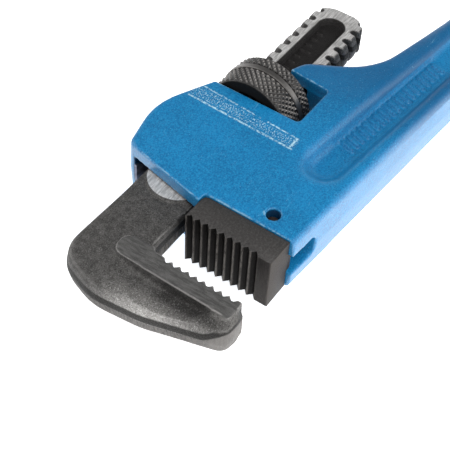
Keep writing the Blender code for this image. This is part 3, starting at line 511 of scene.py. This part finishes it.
# The tooth pad's ground faces, the neck's bright flats, the thread roots darkened as painted shade and the
# shank's hollows.
pad_top = abs(z).rise(8.4, 8.7) * x.inside(pad_back, hook_tip + 2.0, 0.3)
pad_grain = forged.noise(0.9, (1, 0.2, 1), (0, 0, 20), detail=4.0, roughness=0.7)
pad_colour = forged.mix(pad_grain.rise(0.3, 0.7), (0.072, 0.071, 0.070), (0.150, 0.148, 0.145))
colour = forged.mix(pad_top * 0.9, colour, pad_colour)
on_flat = up.rise(0.9, 0.98) * x.rise(flat_from + 0.1, flat_from + 0.9) * abs(z).rise(5.9, 6.2)
grind = forged.noise(1.5, (0.14, 1, 1), (0, 0, 24), detail=4.0, roughness=0.7)
flat_colour = forged.mix(grind.rise(0.3, 0.7), (0.38, 0.375, 0.37), (0.82, 0.81, 0.80))
colour = forged.mix(on_flat * 0.92, colour, flat_colour)
radius = (y - shank_axis).length_with(z)
# Painted shade: the thread roots are darkened.
root_shade = radius.fall(11.0, 12.6) * x.rise(thread_from + 2, thread_from + 5) * up.fall(0.6, 0.9)
colour = forged.mix(root_shade * 0.7, colour, (0.012, 0.011, 0.011))
pocket = abs(z).fall(5.6, 6.1) * up.rise(0.3, 0.6) * x.rise(pocket_from, pocket_from + 2)
colour = forged.mix(pocket * 0.9, colour, (0.017, 0.016, 0.016))
# Painted shade: the fillet just before the neck's flats is darkened.
shoulder_shade = x.inside(flat_from - 3.5, flat_from - 0.5, 1.2) * abs(z).rise(4.5, 5.5) * up.fall(0.8, 0.97)
colour = forged.mix(shoulder_shade * 0.7, colour, (0.020, 0.019, 0.019))

# Broad crowns of the head and all sharp edges are made bright: partly rubbed wear, partly a painted
# highlight.
crown = forged.attribute("crown").rise(0.35, 0.75) * head * (1 - pad_top)
colour = forged.mix(crown * up.rise(0.45, 0.8) * (scale_noise * 0.9 + 0.1), colour, (0.46, 0.45, 0.44))
pad_edge = abs(x - (pad_back + 0.2)).fall(0.1, 0.4) * abs(z).rise(8.0, 8.5) * y.inside(4.0, 36.0, 2.0)
edges = forged.attribute("proud").rise(0.15, 0.26) * fine.rise(0.3, 0.55)
edges = edges * (1 - pocket * 0.8) * (up.rise(0.3, 0.6) * 0.7 + 0.3)
edges = edges.most(pad_edge * fine.rise(0.2, 0.45))
colour = forged.mix(edges * 0.6, colour, (0.40, 0.385, 0.375))
forged.feed("Base Color", colour)
forged.feed("Metallic", 0.5 - upright * head * 0.35)
forged.feed("Roughness", scale_noise * 0.3 + 0.36 - on_flat * 0.1 - edges * 0.1)
relief = scale_noise * (1 - on_flat) + fine * 0.6 + grind * on_flat * 0.3
forged.bump(relief + lower_wall * streaks * 0.4, 0.42)
forged.put_on(hook)
finish_piece(hook, "hook", "forged_steel", "hook_jaw")

# ------------------------------------------------------------------ spring set
# A bowed leaf of spring steel presses on the shank, with a small coil spring behind it in a pocket of the
# housing's roof and a rivet that keeps the two together. They are blued by tempering and lightly oiled.

for node, name, tint in (
    ("flat_spring", "leaf_spring_steel", (0.10, 0.11, 0.15)),
    ("coil_spring", "coil_spring_steel", (0.13, 0.13, 0.15)),
    ("spring_rivet", "rivet_steel", (0.30, 0.28, 0.25)),
):
    tempered = Finish(name, Metallic=0.95)
    bloom = tempered.noise(0.4, detail=3.0)
    tempered.feed("Base Color", tempered.mix(bloom.rise(0.35, 0.65), tint, [c * 1.8 for c in tint]))
    tempered.feed("Roughness", bloom * 0.3 + 0.2)
    tempered.bump(tempered.noise(1.5, (0.2, 1, 1), detail=3.0), 0.04)
    tempered.put_on(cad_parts[node])

# ------------------------------------------------------------------ adjusting nut
# The adjusting nut is turned from bar and knurled in two bands with a plain ring between, then threaded and
# blackened. It is held in the housing's window, on the shank's thread, and its turning moves the hook jaw.

nut_low, nut_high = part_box("adjusting_nut")
nut_radius = (nut_high.z - nut_low.z) / 2 / MM
nut_width = (nut_high.x - nut_low.x) / MM
nut_face = (nut_low.x - datum.x) / MM
diamonds = 46  # round the nut
cuts = 3  # points to each half of a diamond
half_pitch = 1.3
knurl_top = nut_radius - 0.2
knurl_depth = 0.75
knurl_flat = 0.12  # share of each half diamond that is flat on top
knurl_low = nut_radius - 1.0  # at the nut's end faces and in the grooves beside the ring
ring_low, ring_high = 9.7, 12.3
ring_top = nut_radius - 0.05
ring_bevel = 0.3
ring_groove = 0.55
columns = 2 * diamonds * cuts


def knurl_rows(first, last):
    count = round((last - first) / half_pitch * cuts)
    return [first + (last - first) * k / count for k in range(count + 1)]


def nut_reach(along, turn):
    """The nut's radius at each place along it, and at each column round it."""
    a, c = along / half_pitch, turn / cuts
    u, v = (a + c) / 2, (a - c) / 2
    off_line = 2 * np.maximum(abs(u - np.rint(u)), abs(v - np.rint(v)))
    knurl = knurl_top - knurl_depth * np.maximum(off_line - knurl_flat, 0) / (1 - knurl_flat)
    from_end = np.minimum(along, nut_width - along)
    knurl = np.minimum(knurl, knurl_low + from_end)
    beside = np.maximum(ring_low - along, along - ring_high)
    knurl = np.where(beside < ring_groove, knurl_low, knurl)
    ring = ring_top - np.maximum(ring_bevel + beside, 0)
    return np.where(beside < 0, ring, knurl)


# The places along the nut where it has a row of points, closer together at each step in its outline.
rows = [0.02, *knurl_rows(0.3, ring_low - ring_groove - 0.05)]
rows += [ring_low - ring_groove + 0.01, ring_low + 0.001, ring_low + 0.1, ring_low + ring_bevel]
rows += [ring_high - ring_bevel, ring_high - 0.1, ring_high - 0.001, ring_high + ring_groove - 0.01]
rows += [*knurl_rows(ring_high + ring_groove + 0.05, nut_width - 0.3), nut_width - 0.02]

bpy.ops.object.select_all(action="DESELECT")
bpy.ops.mesh.primitive_circle_add(vertices=columns, radius=1.0, fill_type="NGON")
nut = bpy.context.object
nut.name = "knurled_nut"
bpy.ops.object.mode_set(mode="EDIT")
bpy.ops.mesh.select_all(action="SELECT")
for _ in rows[1:]:
    bpy.ops.mesh.extrude_region_move(TRANSFORM_OT_translate={"value": (0, 0, 1.0)})
bpy.ops.object.mode_set(mode="OBJECT")
bar_points = np.empty(len(nut.data.vertices) * 3)
nut.data.vertices.foreach_get("co", bar_points)
bar_points = bar_points.reshape(-1, 3)
angle = np.arctan2(bar_points[:, 1], bar_points[:, 0])
along = np.array(rows)[np.rint(bar_points[:, 2]).astype(int)]
reach = nut_reach(along, np.rint(angle / (2 * math.pi) * columns))
turned = np.stack([nut_face + along, shank_axis + reach * np.cos(angle), reach * np.sin(angle)], 1)
nut.data.vertices.foreach_set("co", (turned * MM + np.array(datum)).ravel())
nut.data.update()
bpy.ops.object.mode_set(mode="EDIT")
bpy.ops.mesh.select_all(action="SELECT")
bpy.ops.mesh.normals_make_consistent(inside=False)
bpy.ops.mesh.quads_convert_to_tris(quad_method="SHORTEST_DIAGONAL")
bpy.ops.object.mode_set(mode="OBJECT")
bored = copy_of("adjusting_nut", "bored_blank")
modify(nut, "BOOLEAN", operation="INTERSECT", solver="EXACT", object=bored)
bpy.data.objects.remove(bored)
select_only(nut)
bpy.ops.object.shade_smooth_by_angle(angle=math.radians(20))

black = Finish("blackened_knurl", Metallic=0.85)
radius = (black.y - shank_axis).length_with(black.z)
fine = black.noise(1.4, detail=4.0, roughness=0.7)
colour = black.mix(fine.rise(0.35, 0.7), (0.045, 0.044, 0.043), (0.095, 0.092, 0.09))
peak = radius.rise(nut_radius - 0.60, nut_radius - 0.25)
colour = black.mix(peak * (fine * 0.5 + 0.4), colour, (0.30, 0.28, 0.265))
along = black.x - nut_face
on_ring = along.inside(ring_low + 0.1, ring_high - 0.1, 0.1)
on_ring = on_ring * radius.rise(nut_radius - 0.4, nut_radius - 0.2)
colour = black.mix(on_ring * 0.9, colour, (0.15, 0.145, 0.14))
# Painted shade: the nut's front face is made near black, and rougher so that it shows little reflection.
face = along.fall(0.1, 0.4)
colour = black.mix(face * 0.9, colour, (0.006, 0.006, 0.006))
# Painted shade: the bore is darkened.
bore_shade = radius.fall(nut_radius - 1.6, nut_radius - 1.2)
colour = black.mix(bore_shade * 0.5, colour, (0.015, 0.015, 0.015))
black.feed("Base Color", colour)
black.feed("Roughness", fine * 0.3 + 0.24 + face * 0.4)
black.bump(fine, 0.05)
black.put_on(nut)
finish_piece(nut, "nut", "blackened_steel", "adjusting_nut")

# ------------------------------------------------------------------ floor, lights and camera
# The wrench lies on a plain pale floor that glows a little. Three soft lamps light it: one overhead, a wide
# one low on its mouth side and one on its far side. The camera looks down on the jaws from the hook's end.

bpy.ops.object.select_all(action="DESELECT")
floor_height = -0.0004  # just under the wrench, so that the two don't share a surface
bpy.ops.mesh.primitive_plane_add(size=6.0, location=(0, 0, floor_height))
floor = bpy.context.object
floor.name = "pale_floor"
floor.data.materials.append(bpy.data.materials.new("pale_floor"))
floor.data.materials[0].use_nodes = True
matt = floor.data.materials[0].node_tree.nodes["Principled BSDF"]
matt.inputs["Base Color"].default_value = (0.93, 0.93, 0.93, 1.0)
matt.inputs["Roughness"].default_value = 0.9
matt.inputs["Emission Color"].default_value = (1.0, 1.0, 1.0, 1.0)
matt.inputs["Emission Strength"].default_value = 0.8

world = bpy.data.worlds.new("studio")
bpy.context.scene.world = world
world.use_nodes = True
sky = world.node_tree.nodes["Background"]
direction = world.node_tree.nodes.new("ShaderNodeTexCoord")
height = world.node_tree.nodes.new("ShaderNodeSeparateXYZ")
brightness = world.node_tree.nodes.new("ShaderNodeMapRange")
world.node_tree.links.new(direction.outputs["Generated"], height.inputs[0])
world.node_tree.links.new(height.outputs["Z"], brightness.inputs["Value"])
world.node_tree.links.new(brightness.outputs[0], sky.inputs["Strength"])
for key, value in {"From Min": 0.15, "From Max": 0.65, "To Min": 0.9, "To Max": 0.10}.items():
    brightness.inputs[key].default_value = value
sky.inputs["Color"].default_value = (1.0, 1.0, 1.0, 1.0)

lit_point = Vector((-0.05, 0.0, 0.02))
for name, place, size, power in (
    ("overhead", (-0.35, -0.25, 0.85), 0.7, 5.2),
    ("mouth_side", (0.10, -0.75, 0.30), 1.1, 6.8),
    ("far_side", (-0.25, 0.75, 0.6), 0.5, 3.0),
):
    lamp = bpy.data.lights.new(name, "AREA")
    lamp.energy = power
    lamp.size = size
    lamp_object = bpy.data.objects.new(name, lamp)
    bpy.context.scene.collection.objects.link(lamp_object)
    lamp_object.location = place
    aim = lit_point - Vector(place)
    lamp_object.rotation_euler = aim.to_track_quat("-Z", "Y").to_euler()

lens = bpy.data.cameras.new("studio_camera")
lens.sensor_width = 36.0
lens.lens = 81.82
lens.clip_start = 0.01
camera = bpy.data.objects.new("studio_camera", lens)
bpy.context.scene.collection.objects.link(camera)
forward = Vector((0.5455, 0.3457, -0.7635)).normalized()
right = Vector((0.5726, -0.8189, 0.0383))
right = (right - forward * right.dot(forward)).normalized()
upward = right.cross(forward)
camera_place = datum + Vector((-0.1940, -0.1031, 0.2912))
facing = Matrix((right, upward, -forward)).transposed().to_4x4()
camera.matrix_world = Matrix.Translation(camera_place) @ facing
bpy.context.scene.camera = camera
bpy.context.scene.view_settings.view_transform = "Standard"
